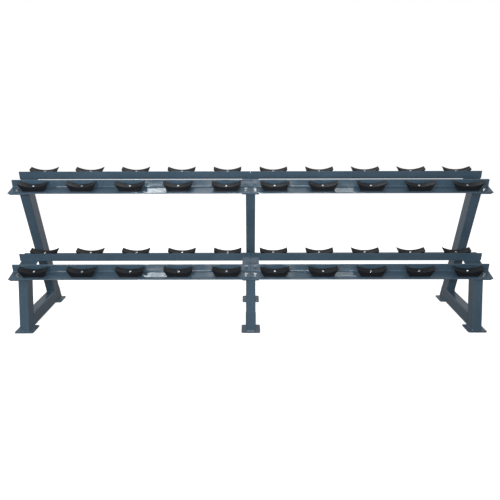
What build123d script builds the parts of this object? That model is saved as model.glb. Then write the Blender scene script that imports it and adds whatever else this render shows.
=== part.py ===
from build123d import *
import math
import os

# Two-tier dumbbell rack, in millimetres.
# +X runs along the rack, +Y to its rear and +Z up. The origin is on the floor, under the middle of
# the rack's length and depth. Three welded frames carry two sloping tiers. Each tier is a front and
# a rear line of steel angle, each line in a left and a right half, with a moulded saddle at every
# station. One dumbbell lies across a front and a rear saddle.

# Overall sizes
rack_depth = 600.0          # front edge of the lower front angle to the rear edge of the rear feet
lower_tier_height = 343.0   # floor to the top of the lower tier plates, at their middle
upper_tier_height = 786.0   # the same for the upper tier plates
station_pitch = 250.0       # spacing of the dumbbells along the rack
stations_per_half = 5       # saddles on one length of angle
tier_tilt = 17.5            # degrees, each tier rises to the rear
upright_lean = 28.0         # degrees, the rear uprights lean forward

# Frame tube
tube_width = 50.0           # along X
tube_depth = 75.0
tube_wall = 3.0
tube_corner = 5.0
post_lead = 16.0            # tier plate middle behind the middle of the post under it
end_cap_thickness = 3.0     # plate that closes the slanted end of the base beam

# Feet
foot_size = 100.0
foot_thickness = 6.0
foot_corner = 10.0

# Tier plates, welded on top of the leg and of the upright
plate_width = 90.0
plate_thickness = 6.0
plate_corner = 8.0
plate_inset = 5.0           # end plates inside the ends of the angles
plate_lip_inset = 0.5       # plates inside the outer edges of the angles

# Angle rails
rail_seat = 74.0            # flange that carries the saddles
rail_back = 45.0            # flange that stands up beside them
rail_thickness = 5.0
rail_root_radius = 7.0       # rolled angle: round in its root, and on the inner edge of each toe
rail_toe_radius = 3.0
rail_spacing = 97.0         # clear distance between the standing flanges of a tier
rail_gap = 1.5              # between the left and right halves

# Saddles
saddle_width = 150.0        # tip to tip
saddle_foot = 106.0         # flat underside
saddle_depth = 38.0
saddle_tip_height = 43.0
saddle_middle_height = 24.0
saddle_end_face = 3.5       # height of the upright face at each tip
saddle_edge_radius = 1.2    # on the edges of that face
saddle_recess_depth = 3.0   # counterbore under the screw head
saddle_recess_radius = 8.5

# Saddle screws, M8 button heads with flange nuts
screw_radius = 4.0
screw_clearance = 0.5       # around the shank, in the saddle and the angle
screw_head_radius = 7.0
screw_head_height = 4.4
screw_socket = 5.0          # across flats
screw_socket_depth = 2.4
screw_tail = 2.0            # shank beyond the nut
screw_nut_flats = 13.0
screw_nut_height = 8.0
screw_nut_flange_radius = 8.9
screw_nut_flange_height = 1.6

# Rail bolts, M10 hexagon heads with a washer above and below
bolt_radius = 5.0
bolt_clearance = 0.5
bolt_flats = 17.0
bolt_head_height = 6.4
bolt_nut_height = 8.4
bolt_tail = 5.0             # shank beyond the nut
washer_radius = 10.0
washer_thickness = 2.0
washer_clearance = 0.25     # around the shank
seam_bolt_offset = 23.0     # middle of the rack to the bolts beside the seam
end_bolt_offset = 38.0      # end of an angle to its outer bolt

# Places worked out from the sizes above
tilt = math.radians(tier_tilt)
lean = math.radians(upright_lean)
rail_end = stations_per_half * station_pitch
rail_length = rail_end - rail_gap / 2
frame_x = rail_end - plate_inset - plate_width / 2
tier_half = rail_spacing / 2 + rail_seat
plate_length = 2 * (tier_half - plate_lip_inset)
seat_middle = rail_spacing / 2 + rail_thickness + (rail_seat - rail_thickness) / 2
lower_tier_y = -rack_depth / 2 + tier_half * math.cos(tilt) + rail_thickness * math.sin(tilt)
leg_y = lower_tier_y - post_lead
rear_foot_y = rack_depth / 2 - foot_size / 2
beam_middle = foot_thickness + tube_depth / 2
beam_top = foot_thickness + tube_depth
upper_tier_y = rear_foot_y - (upper_tier_height - foot_thickness) * math.tan(lean) + post_lead

frames = {"left": -frame_x, "centre": 0.0, "right": frame_x}
tiers = {"lower": (lower_tier_y, lower_tier_height), "upper": (upper_tier_y, upper_tier_height)}
lines = {"front": -1, "rear": 1}
halves = {"left": -1, "right": 1}
station_xs = [(i + 0.5) * station_pitch for i in range(stations_per_half)]
bolt_xs = [seam_bolt_offset, rail_end - end_bolt_offset]
bolt_head_top = rail_thickness + washer_thickness + bolt_head_height
bolt_nut_top = -plate_thickness - washer_thickness
screw_head_seat = rail_thickness + saddle_middle_height - saddle_recess_depth


def tier_place(tier):
    """The sloping plane of a tier's plates: local Y runs up the slope and Z stands square to it."""
    y, z = tiers[tier]
    return Location((0, y, z), (tier_tilt, 0, 0))


def tube(length):
    """Hollow tube along Z, starting at Z 0."""
    outer = RectangleRounded(tube_width, tube_depth, tube_corner)
    bore = RectangleRounded(tube_width - 2 * tube_wall, tube_depth - 2 * tube_wall, tube_corner - tube_wall)
    return extrude(outer - bore, length)


def below(shape, plane):
    """The side of a shape that the plane's normal points away from."""
    return split(shape, bisect_by=plane, keep=Keep.BOTTOM)


def hexagon(flats, height):
    return extrude(RegularPolygon(flats / 2, 6, major_radius=False), height)


def disc(radius, height, bottom=0.0):
    """Upright cylinder that starts at the given height."""
    return Pos(0, 0, bottom) * Cylinder(radius, height, align=(Align.CENTER, Align.CENTER, Align.MIN))


def plate_underside(tier):
    """Plane of the underside of a tier's plates, facing up."""
    return Plane(tier_place(tier) * Location((0, 0, -plate_thickness)))


# Rear face of the uprights, carried on down to the feet. It faces to the rear.
rear_face = Plane(
    origin=(0, rear_foot_y + tube_depth / 2 / math.cos(lean), foot_thickness),
    x_dir=(1, 0, 0),
    z_dir=(0, math.cos(lean), math.sin(lean)),
)


def front_leg():
    """Vertical leg, from its foot plate to the lower tier plate."""
    leg = Pos(0, leg_y, foot_thickness) * tube(lower_tier_height + tube_depth)
    return below(leg, plate_underside("lower"))


def base_beam_blank(section):
    """A section drawn in X and Z, run from the leg to past the rear upright."""
    start = leg_y + tube_depth / 2
    return Location((0, start, beam_middle), (-90, 0, 0)) * extrude(section, rack_depth)


def base_beam():
    """Low beam from the leg to the rear foot. Its rear end is cut in line with the upright."""
    outer = RectangleRounded(tube_width, tube_depth, tube_corner)
    bore = RectangleRounded(tube_width - 2 * tube_wall, tube_depth - 2 * tube_wall, tube_corner - tube_wall)
    return below(base_beam_blank(outer - bore), rear_face)


def beam_end_cap():
    """Plate set into the slanted end of the base beam, flush with it."""
    bore = RectangleRounded(tube_width - 2 * tube_wall, tube_depth - 2 * tube_wall, tube_corner - tube_wall)
    plug = below(base_beam_blank(bore), rear_face)
    return split(plug, bisect_by=rear_face.offset(-end_cap_thickness), keep=Keep.TOP)


def rear_upright():
    """Upright that leans forward, from the top of the base beam to the upper tier plate."""
    run = (upper_tier_height + tube_depth) / math.cos(lean)
    blank = Location((0, rear_foot_y, foot_thickness), (upright_lean, 0, 0)) * tube(run)
    blank = split(blank, bisect_by=Plane.XY.offset(beam_top), keep=Keep.TOP)
    return below(blank, plate_underside("upper"))


def foot_plate(y):
    return Pos(0, y, 0) * extrude(RectangleRounded(foot_size, foot_size, foot_corner), foot_thickness)


def tier_plate(tier, bolts):
    """Sloping plate with a hole for each rail bolt that lands on it."""
    plate = extrude(RectangleRounded(plate_width, plate_length, plate_corner), -plate_thickness)
    for x in bolts:
        for side in lines.values():
            plate -= Pos(x, side * seat_middle, 0) * Cylinder(bolt_radius + bolt_clearance, 4 * plate_thickness)
    return tier_place(tier) * plate


def rail(tier, side, half):
    """One length of angle: seat flange outwards, standing flange beside the open middle of the tier."""
    section = Polyline(
        (0, 0), (rail_seat, 0), (rail_seat, rail_thickness),
        (rail_thickness, rail_thickness), (rail_thickness, rail_back), (0, rail_back), close=True,
    )
    face = make_face(section)
    for corner, radius in (
        ((rail_thickness, rail_thickness, 0), rail_root_radius),
        ((rail_seat, rail_thickness, 0), rail_toe_radius),
        ((rail_thickness, rail_back, 0), rail_toe_radius),
    ):
        face = fillet(face.vertices().sort_by_distance(corner)[0], radius)
    bar = extrude(Plane.YZ * face, rail_length)
    for x in station_xs:
        bar -= Pos(x - rail_gap / 2, seat_middle - rail_spacing / 2, 0) * Cylinder(
            screw_radius + screw_clearance, 4 * rail_thickness)
    for x in bolt_xs:
        bar -= Pos(x - rail_gap / 2, seat_middle - rail_spacing / 2, 0) * Cylinder(
            bolt_radius + bolt_clearance, 4 * rail_thickness)
    bar = Pos(rail_gap / 2, rail_spacing / 2, 0) * bar
    if side < 0:
        bar = mirror(bar, Plane.XZ)
    if half < 0:
        bar = mirror(bar, Plane.YZ)
    return tier_place(tier) * bar


def saddle_blank():
    """Moulded cradle on a seat flange, with its screw hole, standing on Z 0."""
    tip = saddle_width / 2
    foot = saddle_foot / 2
    top = ThreePointArc((tip, saddle_tip_height), (0, saddle_middle_height), (-tip, saddle_tip_height))
    shoulder = saddle_tip_height - saddle_end_face
    sides = Polyline(
        (-tip, saddle_tip_height), (-tip, shoulder), (-foot, 0), (foot, 0), (tip, shoulder), (tip, saddle_tip_height))
    face = make_face([top, sides])
    tips = face.vertices().filter_by(lambda v: v.Y > saddle_middle_height)
    face = fillet(tips, saddle_edge_radius)
    body = extrude(Plane.XZ * face, saddle_depth / 2, both=True)
    body -= Cylinder(screw_radius + screw_clearance, 4 * saddle_tip_height)
    recess = saddle_middle_height - saddle_recess_depth
    return body - disc(saddle_recess_radius, saddle_tip_height, recess)


def saddle_screw():
    """Button head with a hexagon socket, and its plain shank."""
    head = disc(screw_head_radius, screw_head_height)
    rim = head.edges().sort_by(Axis.Z)[-1]
    head = fillet(rim, 0.6 * screw_head_height)
    head -= Pos(0, 0, screw_head_height - screw_socket_depth) * hexagon(screw_socket, screw_head_height)
    reach = screw_head_seat + screw_nut_height + screw_tail
    return Pos(0, 0, screw_head_seat) * (head + disc(screw_radius, reach, -reach))


def saddle_nut():
    """Flange nut under the seat flange."""
    nut = hexagon(screw_nut_flats, screw_nut_height) + disc(
        screw_nut_flange_radius, screw_nut_flange_height, screw_nut_height - screw_nut_flange_height)
    return Pos(0, 0, -screw_nut_height) * (nut - Cylinder(screw_radius, 4 * screw_nut_height))


def rail_bolt():
    """Hexagon head bolt down through an angle and a tier plate."""
    seat = rail_thickness + washer_thickness
    reach = seat - bolt_nut_top + bolt_nut_height + bolt_tail
    return Pos(0, 0, seat) * (hexagon(bolt_flats, bolt_head_height) + disc(bolt_radius, reach, -reach))


def rail_nut():
    nut = hexagon(bolt_flats, bolt_nut_height) - Cylinder(bolt_radius, 4 * bolt_nut_height)
    return Pos(0, 0, bolt_nut_top - bolt_nut_height) * nut


def washer(bottom):
    ring = disc(washer_radius, washer_thickness) - Cylinder(bolt_radius + washer_clearance, 4 * washer_thickness)
    return Pos(0, 0, bottom) * ring


def spread(piece, tier, side, xs):
    """Copies of a piece along the middle of one line of seat flanges."""
    return [tier_place(tier) * Pos(x, side * seat_middle, 0) * piece for x in xs]


def both_ways(xs):
    return [-x for x in reversed(xs)] + list(xs)


nodes = {}

# Three frames. The bolts beside the seam land on the centre plates, and the outer ones on the ends.
outer_bolt = rail_end - end_bolt_offset - frame_x
plate_bolts = {"left": [-outer_bolt], "centre": both_ways([seam_bolt_offset]), "right": [outer_bolt]}
for name, x in frames.items():
    place = Pos(x, 0, 0)
    nodes[name + "_front_leg"] = place * front_leg()
    nodes[name + "_base_beam"] = place * base_beam()
    nodes[name + "_beam_end_cap"] = place * beam_end_cap()
    nodes[name + "_rear_upright"] = place * rear_upright()
    nodes[name + "_front_foot_plate"] = place * foot_plate(leg_y)
    nodes[name + "_rear_foot_plate"] = place * foot_plate(rear_foot_y)
    for tier in tiers:
        nodes[name + "_" + tier + "_tier_plate"] = place * tier_plate(tier, plate_bolts[name])

# Rails and saddles: one node of angle and one node of saddles for each half of each line
for tier in tiers:
    for line, side in lines.items():
        for half_name, half in halves.items():
            label = "_".join((tier, line, half_name))
            xs = [half * x for x in station_xs]
            cradle = Pos(0, 0, rail_thickness) * saddle_blank()
            nodes[label + "_rail"] = rail(tier, side, half)
            nodes[label + "_saddles"] = Compound(spread(cradle, tier, side, xs))

# Fasteners: one node of each kind for each tier
for tier in tiers:
    kinds = {
        "saddle_screws": (saddle_screw(), station_xs),
        "saddle_nuts": (saddle_nut(), station_xs),
        "rail_bolts": (rail_bolt(), bolt_xs),
        "rail_bolt_top_washers": (washer(rail_thickness), bolt_xs),
        "rail_bolt_lower_washers": (washer(bolt_nut_top), bolt_xs),
        "rail_bolt_nuts": (rail_nut(), bolt_xs),
    }
    for kind, (piece, xs) in kinds.items():
        group = [copy for side in lines.values() for copy in spread(piece, tier, side, both_ways(xs))]
        nodes[tier + "_" + kind] = Compound(group)

os.makedirs("parts", exist_ok=True)
for name, shape in nodes.items():
    export_step(shape, "parts/" + name + ".step")
print(len(nodes), "nodes written")
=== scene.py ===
import bpy
import math
from mathutils import Matrix, Vector


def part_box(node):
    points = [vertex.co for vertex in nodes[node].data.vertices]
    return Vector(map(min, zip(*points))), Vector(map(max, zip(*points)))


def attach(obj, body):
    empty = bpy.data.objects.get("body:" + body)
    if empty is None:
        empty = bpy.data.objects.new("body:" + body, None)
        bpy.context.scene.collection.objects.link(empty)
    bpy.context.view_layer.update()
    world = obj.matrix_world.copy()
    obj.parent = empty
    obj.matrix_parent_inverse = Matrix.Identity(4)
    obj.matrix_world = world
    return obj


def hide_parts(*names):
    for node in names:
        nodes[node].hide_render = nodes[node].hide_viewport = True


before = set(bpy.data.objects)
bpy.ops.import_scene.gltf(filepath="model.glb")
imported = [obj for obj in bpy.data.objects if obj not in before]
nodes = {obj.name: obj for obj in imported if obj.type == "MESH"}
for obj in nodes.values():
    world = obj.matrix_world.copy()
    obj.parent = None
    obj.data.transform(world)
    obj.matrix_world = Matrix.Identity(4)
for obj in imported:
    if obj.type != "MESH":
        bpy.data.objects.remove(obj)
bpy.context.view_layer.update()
scene = bpy.context.scene

sides = {"front": -1, "rear": 1}
halves = {"left": -1, "right": 1}
frameNames = ["left", "centre", "right"]
tierNames = ["lower", "upper"]
near = 1e-5                # two places closer than this are the same one
clear = 0.01               # how far a drill runs past what it cuts


# small helpers for working the way one would by hand

def pickOnly(obj):
    if bpy.context.mode != "OBJECT":
        bpy.ops.object.mode_set(mode="OBJECT")
    bpy.ops.object.select_all(action="DESELECT")
    obj.select_set(True)
    bpy.context.view_layer.objects.active = obj


def selectIn(obj, kind, test):
    # opens the piece in edit mode with only the matching elements selected
    pickOnly(obj)
    bpy.ops.object.mode_set(mode="EDIT")
    bpy.ops.mesh.select_mode(type=kind)
    bpy.ops.mesh.select_all(action="DESELECT")
    bpy.ops.object.mode_set(mode="OBJECT")
    mesh = obj.data
    if kind == "FACE":
        for face in mesh.polygons:
            face.select = bool(test(face.center, face.normal))
    elif kind == "EDGE":
        for edge in mesh.edges:
            a, b = (mesh.vertices[i].co for i in edge.vertices)
            edge.select = bool(test(a, b))
    else:
        for vertex in mesh.vertices:
            vertex.select = bool(test(vertex.co))
    bpy.ops.object.mode_set(mode="EDIT")


def backToObject():
    bpy.ops.object.mode_set(mode="OBJECT")


def addBlock(name, low, high):
    bpy.ops.object.select_all(action="DESELECT")
    low, high = Vector(low), Vector(high)
    bpy.ops.mesh.primitive_cube_add(size=1, location=(low + high) / 2, scale=high - low)
    bpy.context.object.name = name
    bpy.ops.object.transform_apply(location=True, rotation=True, scale=True)
    return bpy.context.object


def addRod(name, radius, bottom, top, corners=32, topRadius=None, turn=0.0):
    # upright round or six-sided bar, tapered when a top radius is given
    bpy.ops.object.select_all(action="DESELECT")
    place = dict(location=(0, 0, (bottom + top) / 2), rotation=(0, 0, turn))
    if topRadius is None:
        bpy.ops.mesh.primitive_cylinder_add(
            vertices=corners, radius=radius, depth=top - bottom, **place)
    else:
        bpy.ops.mesh.primitive_cone_add(
            vertices=corners, radius1=radius, radius2=topRadius, depth=top - bottom, **place)
    bpy.context.object.name = name
    bpy.ops.object.transform_apply(location=True, rotation=True, scale=True)
    return bpy.context.object


def moveMesh(obj, matrix):
    obj.data.transform(matrix)
    return obj


def applyModifier(obj, kind, **settings):
    pickOnly(obj)
    modifier = obj.modifiers.new(kind.lower(), kind)
    for key, value in settings.items():
        setattr(modifier, key, value)
    bpy.ops.object.modifier_apply(modifier=modifier.name)


def combine(obj, other, how):
    applyModifier(obj, "BOOLEAN", operation=how, object=other)
    bpy.data.objects.remove(other, do_unlink=True)


def softenEdges(obj, width, segments=2, angle=30):
    applyModifier(
        obj, "BEVEL", width=width, segments=segments, limit_method="ANGLE",
        angle_limit=math.radians(angle), harden_normals=False)


def smoothShade(obj, angle=32):
    # rounds shade smoothly, and faces square to an axis stay truly flat
    pickOnly(obj)
    bpy.ops.object.shade_smooth_by_angle(angle=math.radians(angle))
    selectIn(obj, "FACE", lambda c, n: max(abs(n.x), abs(n.y), abs(n.z)) > 0.99999)
    bpy.ops.mesh.faces_shade_flat()
    backToObject()


def joinAll(name, parts):
    pickOnly(parts[0])
    for part in parts[1:]:
        part.select_set(True)
    if len(parts) > 1:
        bpy.ops.object.join()
    parts[0].name = name
    return parts[0]


def copyTo(master, name, matrix):
    # a copy with its own mesh, its place in the mesh
    piece = master.copy()
    piece.data = master.data.copy()
    piece.name = name
    scene.collection.objects.link(piece)
    piece.data.transform(matrix)
    if matrix.determinant() < 0:
        pickOnly(piece)
        bpy.ops.object.mode_set(mode="EDIT")
        bpy.ops.mesh.select_all(action="SELECT")
        bpy.ops.mesh.normals_make_consistent(inside=False)
        backToObject()
    return piece


def dropMaster(master):
    bpy.data.objects.remove(master, do_unlink=True)


def hand(piece, material, slot, *replaced):
    # paints the piece, rides it on the rack and hides the plain nodes that it stands for
    piece.data.materials.clear()
    piece.data.materials.append(material)
    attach(piece, "root")
    if replaced:
        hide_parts(*replaced)
    return piece


# materials, all on object coordinates

def newMaterial(name):
    material = bpy.data.materials.new(name)
    material.use_nodes = True
    tree = material.node_tree
    return material, tree, tree.nodes["Principled BSDF"]


def addNode(tree, kind, inputs=None, **settings):
    node = tree.nodes.new("ShaderNode" + kind)
    for key, value in settings.items():
        setattr(node, key, value)
    for key, value in (inputs or {}).items():
        if hasattr(value, "links"):
            tree.links.new(value, node.inputs[key])
        else:
            node.inputs[key].default_value = value
    return node


def objectCoords(tree):
    return addNode(tree, "TexCoord").outputs["Object"]


def noiseOn(tree, coords, scale, detail=2.0, roughness=0.5):
    node = addNode(tree, "TexNoise", {
        "Vector": coords, "Scale": scale, "Detail": detail, "Roughness": roughness})
    return node.outputs["Fac"]


def mapTo(tree, value, low, high, fromLow=0.3, fromHigh=0.7):
    node = addNode(tree, "MapRange", {
        "Value": value, "From Min": fromLow, "From Max": fromHigh, "To Min": low, "To Max": high})
    return node.outputs["Result"]


def mixColours(tree, factor, first, second):
    node = addNode(tree, "Mix", data_type="RGBA")
    tree.links.new(factor, node.inputs["Factor"])
    for socket, colour in ((node.inputs[6], first), (node.inputs[7], second)):
        if hasattr(colour, "links"):
            tree.links.new(colour, socket)
        else:
            socket.default_value = colour
    return node.outputs[2]


def bumpFrom(tree, height, strength, distance, normal=None):
    inputs = {"Height": height, "Strength": strength, "Distance": distance}
    if normal is not None:
        inputs["Normal"] = normal
    return addNode(tree, "Bump", inputs).outputs["Normal"]


powderCoat = {
    "dark": (0.048, 0.083, 0.118, 1),
    "light": (0.058, 0.096, 0.134, 1),
    "roughLow": 0.36,
    "roughHigh": 0.48,
    "peelScale": 620,      # orange peel of sprayed powder
    "peelDepth": 0.0006,
    "grainScale": 2600,
    "grainDepth": 0.0002,
    "specular": 0.25,
    "coat": 1.0,
    "coatRough": 0.06,
}


def makePaint():
    material, tree, shader = newMaterial("slatePowderCoat")
    coords = objectCoords(tree)
    drift = mapTo(tree, noiseOn(tree, coords, 5.0, 3.0), 0, 1, 0.38, 0.62)
    cloud = mapTo(tree, noiseOn(tree, coords, 60.0, 3.0), 0, 1)
    base = mixColours(tree, drift, powderCoat["dark"], powderCoat["light"])
    speck = mixColours(tree, cloud, (0.93, 0.93, 0.93, 1), (1.05, 1.05, 1.05, 1))
    colour = addNode(tree, "Mix", data_type="RGBA", blend_type="MULTIPLY")
    colour.inputs["Factor"].default_value = 1.0
    tree.links.new(base, colour.inputs[6])
    tree.links.new(speck, colour.inputs[7])
    tree.links.new(colour.outputs[2], shader.inputs["Base Color"])
    rough = mapTo(tree, noiseOn(tree, coords, 24.0, 4.0), powderCoat["roughLow"], powderCoat["roughHigh"])
    tree.links.new(rough, shader.inputs["Roughness"])
    peel = bumpFrom(tree, noiseOn(tree, coords, powderCoat["peelScale"], 1.0), 0.16, powderCoat["peelDepth"])
    fine = noiseOn(tree, coords, powderCoat["grainScale"], 2.0)
    grain = bumpFrom(tree, fine, 0.10, powderCoat["grainDepth"], peel)
    tree.links.new(grain, shader.inputs["Normal"])
    shader.inputs["Specular IOR Level"].default_value = powderCoat["specular"]
    shader.inputs["Coat Weight"].default_value = powderCoat["coat"]
    shader.inputs["Coat Roughness"].default_value = powderCoat["coatRough"]
    return material


mouldedBlack = {
    "deep": (0.0040, 0.0047, 0.0068, 1),
    "worn": (0.0068, 0.0080, 0.0112, 1),
    "roughLow": 0.40,
    "roughHigh": 0.55,
    "grainScale": 900,     # leather grain of the mould
    "grainDepth": 0.0003,
    "specular": 0.32,
}


def makePlastic():
    material, tree, shader = newMaterial("mouldedBlackPlastic")
    coords = objectCoords(tree)
    cloud = mapTo(tree, noiseOn(tree, coords, 38.0, 4.0), 0, 1)
    colour = mixColours(tree, cloud, mouldedBlack["deep"], mouldedBlack["worn"])
    tree.links.new(colour, shader.inputs["Base Color"])
    rough = mapTo(tree, noiseOn(tree, coords, 90.0, 3.0), mouldedBlack["roughLow"], mouldedBlack["roughHigh"])
    tree.links.new(rough, shader.inputs["Roughness"])
    cells = addNode(tree, "TexVoronoi", {"Vector": coords, "Scale": mouldedBlack["grainScale"]})
    leather = bumpFrom(tree, cells.outputs["Distance"], 0.22, mouldedBlack["grainDepth"])
    fine = bumpFrom(tree, noiseOn(tree, coords, 3200.0, 2.0), 0.12, 0.00015, leather)
    tree.links.new(fine, shader.inputs["Normal"])
    shader.inputs["Specular IOR Level"].default_value = mouldedBlack["specular"]
    return material


zincPlate = {
    "bright": (0.74, 0.75, 0.75, 1),
    "dull": (0.56, 0.58, 0.60, 1),
    "roughLow": 0.20,
    "roughHigh": 0.36,
}


def makeZinc():
    material, tree, shader = newMaterial("brightZincPlate")
    coords = objectCoords(tree)
    cloud = mapTo(tree, noiseOn(tree, coords, 260.0, 3.0), 0, 1)
    colour = mixColours(tree, cloud, zincPlate["bright"], zincPlate["dull"])
    tree.links.new(colour, shader.inputs["Base Color"])
    rough = mapTo(tree, noiseOn(tree, coords, 420.0, 3.0), zincPlate["roughLow"], zincPlate["roughHigh"])
    tree.links.new(rough, shader.inputs["Roughness"])
    tree.links.new(bumpFrom(tree, noiseOn(tree, coords, 1900.0, 2.0), 0.10, 0.0002), shader.inputs["Normal"])
    shader.inputs["Metallic"].default_value = 1.0
    return material


paint, plastic, zinc = makePaint(), makePlastic(), makeZinc()
print("materials made")


# where the sloping tiers and the posts are, read from the loaded nodes

tierPlate = {
    "tilt": math.radians(17.5),
    "width": 0.090,
    "length": 0.244,
    "thickness": 0.006,
    "corner": 0.008,
    "boltHole": 0.0055,
    "edge": 0.0008,
}


def middleOf(node):
    low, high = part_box(node)
    return (Vector(low) + Vector(high)) / 2


def tierMatrix(tier):
    # local Y runs up the slope and local Z stands square to it, with Z 0 on top of the plates
    plate = middleOf("centre_" + tier + "_tier_plate")
    turn = Matrix.Rotation(tierPlate["tilt"], 4, "X")
    return Matrix.Translation(plate) @ turn @ Matrix.Translation((0, 0, tierPlate["thickness"] / 2))


tiers = {tier: tierMatrix(tier) for tier in tierNames}
frameXs = {name: middleOf(name + "_front_leg").x for name in frameNames}
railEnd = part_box("lower_rear_right_rail")[1][0]
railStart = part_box("lower_rear_right_rail")[0][0]


angleRail = {
    "seat": 0.074,
    "back": 0.045,
    "thickness": 0.005,
    "spacing": 0.097,      # between the standing flanges of one tier
    "root": 0.007,
    "toe": 0.003,          # round on the inner edge of each flange
    "edge": 0.0006,
    "screwHole": 0.0045,
    "boltHole": 0.0055,
    "saddles": 5,
    "seamBolt": 0.023,     # from the middle of the rack
    "endBolt": 0.038,      # from the end of the angle
}
pitch = railEnd / angleRail["saddles"]
seatMiddle = angleRail["spacing"] / 2 + (angleRail["seat"] + angleRail["thickness"]) / 2
saddleXs = [(i + 0.5) * pitch for i in range(angleRail["saddles"])]
boltXs = [angleRail["seamBolt"], railEnd - angleRail["endBolt"]]


def makeRail():
    # the right half of a rear line, lying flat: the other seven are mirror copies
    heel = angleRail["spacing"] / 2
    thick = angleRail["thickness"]
    rail = addBlock("railMaster", (railStart, heel, 0), (railEnd, heel + angleRail["seat"], thick))
    selectIn(rail, "FACE", lambda c, n: True)
    bpy.ops.mesh.bisect(plane_co=(0, heel + thick, 0), plane_no=(0, 1, 0))
    backToObject()
    selectIn(rail, "FACE", lambda c, n: n.z > 0.9 and c.y < heel + thick)
    bpy.ops.mesh.extrude_region_move(TRANSFORM_OT_translate={"value": (0, 0, angleRail["back"] - thick)})
    backToObject()
    root = (heel + thick, thick)
    selectIn(rail, "EDGE", lambda a, b: all(math.dist((v.y, v.z), root) < near for v in (a, b)))
    bpy.ops.mesh.bevel(offset=angleRail["root"], segments=6, affect="EDGES")
    backToObject()
    for toe in ((heel + angleRail["seat"], thick), (heel + thick, angleRail["back"])):
        selectIn(rail, "EDGE", lambda a, b: all(math.dist((v.y, v.z), toe) < near for v in (a, b)))
        bpy.ops.mesh.bevel(offset=angleRail["toe"], segments=4, affect="EDGES")
        backToObject()
    holes = [(x, angleRail["screwHole"]) for x in saddleXs] + [(x, angleRail["boltHole"]) for x in boltXs]
    for x, radius in holes:
        drill = addRod("drill", radius, -thick, 2 * thick, 24)
        combine(rail, moveMesh(drill, Matrix.Translation((x, seatMiddle, 0))), "DIFFERENCE")
    softenEdges(rail, angleRail["edge"], 2, 40)
    smoothShade(rail)
    return rail


railMaster = makeRail()
for tier in tierNames:
    for line, side in sides.items():
        for halfName, half in halves.items():
            flip = Matrix.Diagonal((half, side, 1, 1))
            piece = copyTo(railMaster, "_".join((tier, line, halfName, "angle")), tiers[tier] @ flip)
            hand(piece, paint, "frame_paint", "_".join((tier, line, halfName, "rail")))
dropMaster(railMaster)
print("rails made")


footPlate = {
    "corner": 0.010,
    "edge": 0.0010,
}


def makePlate(name, low, high, corner, edge, holes=()):
    plate = addBlock(name, low, high)
    selectIn(plate, "EDGE", lambda a, b: abs(a.z - b.z) > 1e-4)
    bpy.ops.mesh.bevel(offset=corner, segments=7, affect="EDGES")
    backToObject()
    for x, y, radius in holes:
        drill = addRod("drill", radius, low[2] - clear, high[2] + clear, 24)
        combine(plate, moveMesh(drill, Matrix.Translation((x, y, 0))), "DIFFERENCE")
    softenEdges(plate, edge, 2, 40)
    smoothShade(plate)
    return plate


for name in frameNames:
    across, along = tierPlate["width"] / 2, tierPlate["length"] / 2
    if name == "centre":
        boltsHere = [-boltXs[0], boltXs[0]]
    else:
        boltsHere = [math.copysign(boltXs[1], frameXs[name]) - frameXs[name]]
    holes = [(x, side * seatMiddle, tierPlate["boltHole"]) for x in boltsHere for side in sides.values()]
    for tier in tierNames:
        low, high = (-across, -along, -tierPlate["thickness"]), (across, along, 0)
        plate = makePlate(
            "_".join((name, tier, "top_plate")), low, high, tierPlate["corner"], tierPlate["edge"], holes)
        moveMesh(plate, tiers[tier] @ Matrix.Translation((frameXs[name], 0, 0)))
        hand(plate, paint, "frame_paint", "_".join((name, tier, "tier_plate")))
    for end in sides:
        node = "_".join((name, end, "foot_plate"))
        low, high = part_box(node)
        foot = makePlate("_".join((name, end, "foot")), low, high, footPlate["corner"], footPlate["edge"])
        hand(foot, paint, "frame_paint", node)
print("plates made")


saddle = {
    "width": 0.150,
    "foot": 0.106,         # flat underside
    "depth": 0.038,
    "tipHeight": 0.043,
    "middleHeight": 0.024,
    "endFace": 0.0035,     # short upright face at each tip
    "edge": 0.0013,
    "sliver": 0.0006,      # corners closer than this are merged before the edges are rounded
    "screwHole": 0.0045,
    "recessRadius": 0.0085,
    "recessDepth": 0.003,
}


def makeSaddle():
    tip, deep, high = saddle["width"] / 2, saddle["depth"] / 2, saddle["tipHeight"]
    block = addBlock("saddleMaster", (-tip, -deep, 0), (tip, deep, high))
    selectIn(block, "FACE", lambda c, n: True)
    bpy.ops.mesh.bisect(plane_co=(0, 0, high - saddle["endFace"]), plane_no=(0, 0, 1))
    backToObject()
    selectIn(block, "VERT", lambda v: v.z < near)
    bpy.ops.transform.resize(value=(saddle["foot"] / saddle["width"], 1, 1), center_override=(0, 0, 0))
    backToObject()
    # the hollow is part of a large cylinder that lies across the saddle
    sag = high - saddle["middleHeight"]
    radius = (tip * tip + sag * sag) / (2 * sag)
    roller = addRod("roller", radius, -saddle["depth"], saddle["depth"], 180)
    lift = Matrix.Translation((0, 0, radius + saddle["middleHeight"]))
    moveMesh(roller, lift @ Matrix.Rotation(math.pi / 2, 4, "X"))
    combine(block, roller, "DIFFERENCE")
    # slivers left at the tips would hold the rounding of every edge back
    selectIn(block, "FACE", lambda c, n: True)
    bpy.ops.mesh.remove_doubles(threshold=saddle["sliver"])
    backToObject()
    softenEdges(block, saddle["edge"], 3, 28)
    combine(block, addRod("drill", saddle["screwHole"], -clear, high, 24), "DIFFERENCE")
    floor = saddle["middleHeight"] - saddle["recessDepth"]
    combine(block, addRod("recess", saddle["recessRadius"], floor, 2 * high, 36), "DIFFERENCE")
    smoothShade(block, 40)
    return block


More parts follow.
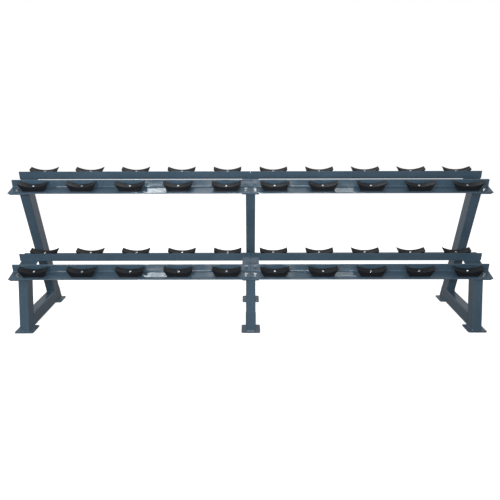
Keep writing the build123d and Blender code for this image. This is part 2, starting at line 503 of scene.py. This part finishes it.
saddleMaster = makeSaddle()
for tier in tierNames:
    for line, side in sides.items():
        for halfName, half in halves.items():
            for number, x in enumerate(saddleXs, 1):
                spot = Matrix.Translation((half * x, side * seatMiddle, angleRail["thickness"]))
                name = "_".join((tier, line, halfName, "saddle", str(number)))
                piece = copyTo(saddleMaster, name, tiers[tier] @ spot)
                hand(piece, plastic, "saddle_plastic", "_".join((tier, line, halfName, "saddles")))
dropMaster(saddleMaster)
print("saddles made")


m8 = {
    "shank": 0.004,
    "head": 0.007,
    "headHeight": 0.0044,
    "socket": 0.0025,      # half of the distance across its flats
    "socketDepth": 0.0024,
    "nutFlats": 0.013,
    "nutHeight": 0.008,
    "nutFlange": 0.0089,
    "nutFlangeHeight": 0.0016,
    "tail": 0.002,         # shank beyond the nut
    "thread": 0.00125,
}
m10 = {
    "shank": 0.005,
    "flats": 0.017,
    "headHeight": 0.0064,
    "nutHeight": 0.0084,
    "washer": 0.010,
    "washerHole": 0.00525,
    "washerHeight": 0.002,
    "tail": 0.005,
    "thread": 0.0015,
}
hardware = {
    "turnedFlat": 0.475,   # radius left flat on a turned end, as a share of the width across flats
    "threadRings": 8,
    "threadRoot": 0.86,    # root of the thread, as a share of the shank
    "headOverlap": 0.001,  # the shank runs this far into its head
    "rimEdge": 0.0003,
    "headRound": 0.72,     # of a button head's height
}


def cornerRadius(flats):
    return flats / 2 / math.cos(math.pi / 6)


def makeHexagon(name, flats, bottom, top, turnedEnds):
    # six-sided bar with its corners turned off at 30 degrees, as on a forged head
    body = addRod(name, cornerRadius(flats), bottom, top, 6)
    small = flats * hardware["turnedFlat"]
    wide = small + (top - bottom) / math.tan(math.radians(30))
    if "top" in turnedEnds:
        combine(body, addRod("turned", wide, bottom, top, 48, small), "INTERSECT")
    if "bottom" in turnedEnds:
        combine(body, addRod("turned", small, bottom, top, 48, wide), "INTERSECT")
    return body


def makeThread(name, radius, pitchLength, bottom, top, corners=20):
    # a plain shank whose lower stretch carries rings at the thread's pitch
    shank = addRod(name, radius, bottom, top, corners)
    rings = hardware["threadRings"]
    root = hardware["threadRoot"]
    for i in range(1, rings):
        selectIn(shank, "FACE", lambda c, n: True)
        bpy.ops.mesh.bisect(plane_co=(0, 0, bottom + i * pitchLength / 2), plane_no=(0, 0, 1))
        backToObject()
    for i in range(0, rings, 2):
        level = bottom + i * pitchLength / 2
        selectIn(shank, "VERT", lambda v: abs(v.z - level) < 1e-6)
        bpy.ops.transform.resize(value=(root, root, 1), center_override=(0, 0, level))
        backToObject()
    return shank


def makeSaddleScrew():
    seat = angleRail["thickness"] + saddle["middleHeight"] - saddle["recessDepth"]
    head = addRod("buttonHead", m8["head"], seat, seat + m8["headHeight"], 36)
    selectIn(head, "EDGE", lambda a, b: min(a.z, b.z) > seat + m8["headHeight"] - near)
    bpy.ops.mesh.bevel(
        offset=m8["headHeight"] * hardware["headRound"], segments=6, affect="EDGES", profile=0.55)
    backToObject()
    socketRadius = m8["socket"] / math.cos(math.pi / 6)
    top = seat + m8["headHeight"]
    combine(head, addRod("key", socketRadius, top - m8["socketDepth"], top + clear, 6), "DIFFERENCE")
    tail = -m8["nutHeight"] - m8["tail"]
    shank = makeThread("shank", m8["shank"], m8["thread"], tail, seat + hardware["headOverlap"])
    nut = makeHexagon("nut", m8["nutFlats"], -m8["nutHeight"], -0.0005, ["bottom"])
    flange = addRod("flange", m8["nutFlange"], -m8["nutFlangeHeight"], 0, 32)
    softenEdges(flange, hardware["rimEdge"], 1)
    return joinAll("screwMaster", [head, shank]), joinAll("nutMaster", [nut, flange])


def makeWasher(bottom):
    ring = addRod("washer", m10["washer"], bottom, bottom + m10["washerHeight"], 36)
    combine(ring, addRod("drill", m10["washerHole"], bottom - clear, bottom + clear, 24), "DIFFERENCE")
    softenEdges(ring, hardware["rimEdge"], 1)
    return ring


def makeRailBolt():
    seat = angleRail["thickness"] + m10["washerHeight"]
    nutTop = -tierPlate["thickness"] - m10["washerHeight"]
    head = makeHexagon("hexHead", m10["flats"], seat, seat + m10["headHeight"], ["top"])
    tail = nutTop - m10["nutHeight"] - m10["tail"]
    shank = makeThread("shank", m10["shank"], m10["thread"], tail, seat + hardware["headOverlap"])
    nut = makeHexagon("nut", m10["flats"], nutTop - m10["nutHeight"], nutTop, ["top", "bottom"])
    bolt = joinAll("boltMaster", [head, shank])
    return bolt, nut, makeWasher(angleRail["thickness"]), makeWasher(nutTop)


screwMaster, screwNutMaster = makeSaddleScrew()
boltMaster, boltNutMaster, topWasherMaster, lowerWasherMaster = makeRailBolt()
fasteners = {
    "saddle_screws": (screwMaster, saddleXs, "saddle_screw"),
    "saddle_nuts": (screwNutMaster, saddleXs, "flange_nut"),
    "rail_bolts": (boltMaster, boltXs, "rail_bolt"),
    "rail_bolt_nuts": (boltNutMaster, boltXs, "rail_nut"),
    "rail_bolt_top_washers": (topWasherMaster, boltXs, "top_washer"),
    "rail_bolt_lower_washers": (lowerWasherMaster, boltXs, "lower_washer"),
}
for node, (master, xs, label) in fasteners.items():
    smoothShade(master, 35)
    for tier in tierNames:
        for line, side in sides.items():
            copies = []
            for number, x in enumerate([-x for x in reversed(xs)] + xs, 1):
                # each one stopped at its own angle when it was tightened
                turned = Matrix.Rotation(math.radians(37 * number + 11 * side), 4, "Z")
                spot = Matrix.Translation((x, side * seatMiddle, 0))
                name = "_".join((tier, line, label, str(number)))
                copies.append(copyTo(master, name, tiers[tier] @ spot @ turned))
            group = joinAll("_".join((tier, line, label + "s")), copies)
            hand(group, zinc, "zinc_plate", tier + "_" + node)
    dropMaster(master)
print("fasteners made")


# posts and beams keep their shape from the design, and get the paint
for name in frameNames:
    for post in ("front_leg", "base_beam", "beam_end_cap", "rear_upright"):
        node = nodes[name + "_" + post]
        node.data.materials.clear()
        node.data.materials.append(paint)


weld = {
    "radius": 0.0026,
    "ripple": 0.0022,      # spacing of the ripples along the bead
    "low": 0.80,
    "tubeWidth": 0.050,
    "tubeDepth": 0.075,
    "tubeCorner": 0.005,
    "lean": math.radians(28),
    "sink": 0.0005,        # a foot bead lies this far inside the side of the beam
    "stop": 0.004,         # and stops this short of the beam's rear end
}


def beadFromEdges(path):
    # cuts the long edges at the ripple spacing, then thickens the path into a bead
    places = [vertex.co for vertex in path.data.vertices]
    ends = [edge.vertices for edge in path.data.edges]
    lengths = sorted({round((places[a] - places[b]).length, 5) for a, b in ends})
    for length in [x for x in lengths if x > 2 * weld["ripple"]]:
        selectIn(path, "EDGE", lambda a, b: abs((a - b).length - length) < 2 * near)
        bpy.ops.mesh.subdivide(number_cuts=int(length / weld["ripple"]))
        backToObject()
    pickOnly(path)
    bpy.ops.object.convert(target="CURVE")
    curve = bpy.context.object.data
    curve.bevel_depth = weld["radius"]
    curve.bevel_resolution = 1
    curve.use_fill_caps = True
    for spline in curve.splines:
        for number, point in enumerate(spline.points):
            point.radius = weld["low"] if number % 2 else 1.0
    bpy.ops.object.convert(target="MESH")
    bead = bpy.context.object
    smoothShade(bead, 60)
    return bead


def weldRound(name, depth, matrix):
    # bead round a rectangular tube end, drawn flat and then set in place
    bpy.ops.object.select_all(action="DESELECT")
    bpy.ops.mesh.primitive_plane_add(size=1)
    path = bpy.context.object
    path.name = name
    path.scale = (weld["tubeWidth"], depth, 1)
    bpy.ops.object.transform_apply(location=True, rotation=True, scale=True)
    selectIn(path, "VERT", lambda v: True)
    bpy.ops.mesh.bevel(offset=weld["tubeCorner"], segments=4, affect="VERTICES")
    bpy.ops.mesh.select_all(action="SELECT")
    bpy.ops.mesh.delete(type="ONLY_FACE")
    backToObject()
    return moveMesh(beadFromEdges(path), matrix)


def weldAlong(name, start, end):
    # straight bead from one point to another
    bpy.ops.object.select_all(action="DESELECT")
    bpy.ops.mesh.primitive_plane_add(size=1)
    path = bpy.context.object
    path.name = name
    selectIn(path, "VERT", lambda v: v.y > 0)
    bpy.ops.mesh.delete(type="VERT")
    backToObject()
    for vertex, place in zip(path.data.vertices, (start, end)):
        vertex.co = place
    return beadFromEdges(path)


for name in frameNames:
    x = frameXs[name]
    legLow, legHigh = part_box(name + "_front_leg")
    beamLow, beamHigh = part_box(name + "_base_beam")
    upLow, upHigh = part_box(name + "_rear_upright")
    legY = (legLow[1] + legHigh[1]) / 2
    tilt, lean, depth = tierPlate["tilt"], weld["lean"], weld["tubeDepth"]
    underPlate = Matrix.Translation((0, 0, -tierPlate["thickness"]))

    def onPlate(tier, y):
        # the point under a tier plate at a given depth, as a place on its slope
        origin = tiers[tier].translation
        along = (y - origin.y - tierPlate["thickness"] * math.sin(tilt)) / math.cos(tilt)
        return tiers[tier] @ Matrix.Translation((x, along, 0)) @ underPlate

    upBottomFront = upHigh[1] - depth / math.cos(lean)
    upBottom = Vector((x, (upBottomFront + upHigh[1]) / 2, upLow[2]))
    # where the upright's axis meets the underside of the upper plate
    upper = tiers["upper"]
    normal = upper.to_3x3() @ Vector((0, 0, 1))
    onPlane = (upper @ underPlate).translation
    axis = Vector((0, -math.sin(lean), math.cos(lean)))
    reach = (onPlane - upBottom).dot(normal) / axis.dot(normal)
    upTop = upBottom + axis * reach
    topMatrix = Matrix.Translation(upTop) @ Matrix.Rotation(tilt, 4, "X")
    beamMiddle = Vector((x, beamLow[1], (beamLow[2] + beamHigh[2]) / 2))
    beamMatrix = Matrix.Translation(beamMiddle) @ Matrix.Rotation(math.pi / 2, 4, "X")
    beads = [
        weldRound("legFoot", depth, Matrix.Translation((x, legY, legLow[2]))),
        weldRound("legTop", depth / math.cos(tilt), onPlate("lower", legY)),
        weldRound("uprightFoot", depth / math.cos(lean), Matrix.Translation(upBottom)),
        weldRound("uprightTop", depth / math.cos(lean - tilt), topMatrix),
        weldRound("beamEnd", depth, beamMatrix),
    ]
    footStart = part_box(name + "_rear_foot_plate")[0][1]
    footStop = beamHigh[1] - weld["stop"]
    for side in (-1, 1):
        edge = x + side * (weld["tubeWidth"] / 2 - weld["sink"])
        beads.append(weldAlong("beamFoot", (edge, footStart, beamLow[2]), (edge, footStop, beamLow[2])))
    hand(joinAll(name + "_welds", beads), paint, "frame_paint")
print("welds made")


studio = {
    "floor": (0.90, 0.90, 0.90, 1),
    "floorGlow": 0.67,     # keeps the pale floor white out to the horizon
    "roomAbove": 0.38,
    "roomBelow": 0.12,
    "roomEdge": (-0.36, -0.14),   # where the darker lower part of the room gives way to the upper
    "keyPower": 18,
    "topPower": 38,
    "frontPower": 21,
    "boxTint": (0.92, 0.98, 1.0),
    "boxHigh": 0.24,
    "boxes": [             # place across, width and power of the soft boxes beside the camera
        (-1.0, 0.34, 38),
        (-0.50, 0.34, 6),
        (0.50, 0.34, 2.5),
        (0.96, 0.30, 12),
    ],
}


def addSoftLight(name, place, target, size, power):
    light = bpy.data.lights.new(name, "AREA")
    light.shape = "RECTANGLE"
    light.size, light.size_y = size
    light.energy = power
    lamp = bpy.data.objects.new(name, light)
    scene.collection.objects.link(lamp)
    lamp.location = place
    lamp.visible_camera = False
    lamp.rotation_euler = (Vector(target) - Vector(place)).to_track_quat("-Z", "Y").to_euler()
    return lamp


def makeFloor():
    bpy.ops.object.select_all(action="DESELECT")
    bpy.ops.mesh.primitive_plane_add(size=120)
    floor = bpy.context.object
    floor.name = "studioFloor"
    material, tree, shader = newMaterial("paleFloor")
    shader.inputs["Base Color"].default_value = studio["floor"]
    shader.inputs["Roughness"].default_value = 0.85
    shader.inputs["Specular IOR Level"].default_value = 0.1
    shader.inputs["Emission Color"].default_value = (1, 1, 1, 1)
    shader.inputs["Emission Strength"].default_value = studio["floorGlow"]
    floor.data.materials.append(material)
    # the white floor takes the shadow but throws no light back up at the rack
    floor.visible_diffuse = False
    floor.visible_glossy = False


def makeWorld():
    # grey room, darker towards the ground, with a white wall behind the rack
    world = bpy.data.worlds.new("studioWorld")
    world.use_nodes = True
    tree = world.node_tree
    room = tree.nodes["Background"]
    room.inputs["Color"].default_value = (1, 1, 1, 1)
    around = addNode(tree, "TexCoord").outputs["Generated"]
    height = addNode(tree, "SeparateXYZ", {"Vector": around}).outputs["Z"]
    glow = mapTo(tree, height, studio["roomBelow"], studio["roomAbove"], *studio["roomEdge"])
    tree.links.new(glow, room.inputs["Strength"])
    wall = addNode(tree, "Background", {"Color": (1, 1, 1, 1), "Strength": 1.0})
    seen = addNode(tree, "LightPath").outputs["Is Camera Ray"]
    both = addNode(tree, "MixShader")
    tree.links.new(seen, both.inputs[0])
    tree.links.new(room.outputs[0], both.inputs[1])
    tree.links.new(wall.outputs[0], both.inputs[2])
    tree.links.new(both.outputs[0], tree.nodes["World Output"].inputs["Surface"])
    scene.world = world


def makeLights():
    addSoftLight("keyLight", (-2.7, -2.4, 2.2), (-0.2, -0.1, 0.5), (0.7, 0.7), studio["keyPower"])
    addSoftLight("topLight", (0, 0.9, 3.8), (0, -0.1, 0.5), (2.2, 1.6), studio["topPower"])
    addSoftLight("frontLight", (0, -2.4, 0.9), (0, 0, 0.6), (0.8, 0.5), studio["frontPower"])
    # a box whose lower edge is level with the camera shows in the seats of the rails, and hardly in
    # their standing flanges
    high = studio["boxHigh"]
    level = view["place"][2] + high / 2
    for across, wide, power in studio["boxes"]:
        place = (across, view["place"][1], level)
        box = addSoftLight("softBox", place, (across, 0, level), (wide, high), power)
        box.data.color = studio["boxTint"]


view = {
    "lens": 41.05,
    "sensor": 36.0,
    "place": (-0.0022, -3.166, 1.264),
    "dip": 0.082,          # radians below level
    "roll": -0.0019,
    "shiftY": -0.220,
}


def makeCamera():
    data = bpy.data.cameras.new("mainCamera")
    data.lens, data.sensor_width, data.shift_y = view["lens"], view["sensor"], view["shiftY"]
    camera = bpy.data.objects.new("mainCamera", data)
    scene.collection.objects.link(camera)
    turn = Matrix.Rotation(math.pi / 2 - view["dip"], 4, "X") @ Matrix.Rotation(view["roll"], 4, "Z")
    camera.matrix_world = Matrix.Translation(view["place"]) @ turn
    scene.camera = camera


makeFloor()
makeWorld()
makeLights()
makeCamera()
scene.view_settings.view_transform = "Standard"
print("studio made")
